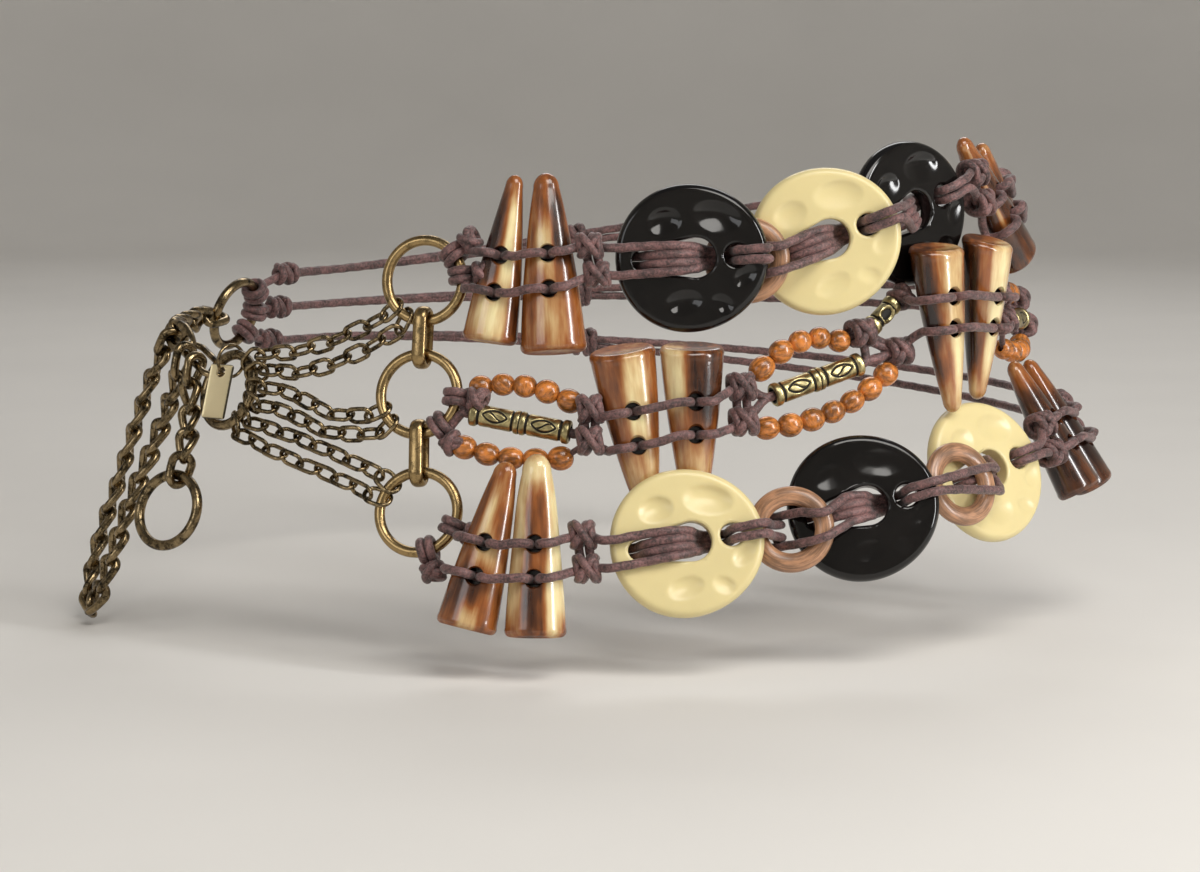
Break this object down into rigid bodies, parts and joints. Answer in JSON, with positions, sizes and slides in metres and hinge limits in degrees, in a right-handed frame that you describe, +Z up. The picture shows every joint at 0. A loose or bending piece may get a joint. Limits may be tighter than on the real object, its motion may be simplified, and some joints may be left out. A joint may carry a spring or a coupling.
{
  "type": "chain belt",
  "caption": "Hip belt of knotted cord strung with horn beads, pierced discs and wooden beads, joined by rings and chains to a clasp.",
  "frame": {"origin": "the middle of the space for the hips, level with the belt's middle strand", "axes": "+Z up, front towards -Y, +X to the viewer's right from the front"},
  "size_m": [0.3087, 0.2248, 0.1417],
  "materials": {
    "ladder_brass": "aged, with worn bright edges",
    "tag_brass": "satin",
    "dark_bronze": "dark bronze plating with bright highlights",
    "tube_brass": "pale, with black-filled relief",
    "cord": "waxed cord",
    "horn": "polished brown, amber and cream",
    "black_disc": "polished black",
    "cream_disc": "satin cream",
    "bead_wood": "polished",
    "ring_wood": "waxed"
  },
  "bodies": {
    "root": {"back_ring": "dark_bronze", "bead_row_1_lower": "bead_wood", "bead_row_1_upper": "bead_wood", "bead_row_2_lower": "bead_wood", "bead_row_2_upper": "bead_wood", "bead_row_3_lower": "bead_wood", "bead_row_3_upper": "bead_wood", "brass_tube_1": "tube_brass", "brass_tube_2": "tube_brass", "brass_tube_3": "tube_brass", "cable_chain_bottom_lower": "dark_bronze", "cable_chain_bottom_upper": "dark_bronze", "cable_chain_middle_lower": "dark_bronze", "cable_chain_middle_upper": "dark_bronze", "cable_chain_top_lower": "dark_bronze", "cable_chain_top_upper": "dark_bronze", "clasp": "dark_bronze", "clasp_link": "dark_bronze", "connector_lower": "ladder_brass", "connector_upper": "ladder_brass", "cord_bottom_back": "cord", "cord_bottom_front": "cord", "cord_middle_back": "cord", "cord_middle_front": "cord", "cord_top_back": "cord", "cord_top_front": "cord", "disc_bottom_1": "cream_disc", "disc_bottom_2": "black_disc", "disc_bottom_3": "cream_disc", "disc_top_1": "black_disc", "disc_top_2": "cream_disc", "disc_top_3": "black_disc", "end_ring": "dark_bronze", "extension_chain_back": "dark_bronze", "extension_chain_swag": "dark_bronze", "extension_chain_tail": "dark_bronze", "eye_bead": "tube_brass", "gathering_ring": "dark_bronze", "horn_bottom_1": "horn", "horn_bottom_2": "horn", "horn_bottom_3": "horn", "horn_bottom_4": "horn", "horn_middle_1": "horn", "horn_middle_2": "horn", "horn_middle_3": "horn", "horn_middle_4": "horn", "horn_top_1": "horn", "horn_top_2": "horn", "horn_top_3": "horn", "horn_top_4": "horn", "ring_bottom": "ladder_brass", "ring_middle": "ladder_brass", "ring_top": "ladder_brass", "tag": "tag_brass", "tag_jump_ring": "dark_bronze", "wood_ring_bottom_1": "ring_wood", "wood_ring_bottom_2": "ring_wood", "wood_ring_top": "ring_wood"}
  },
  "joints": []
}
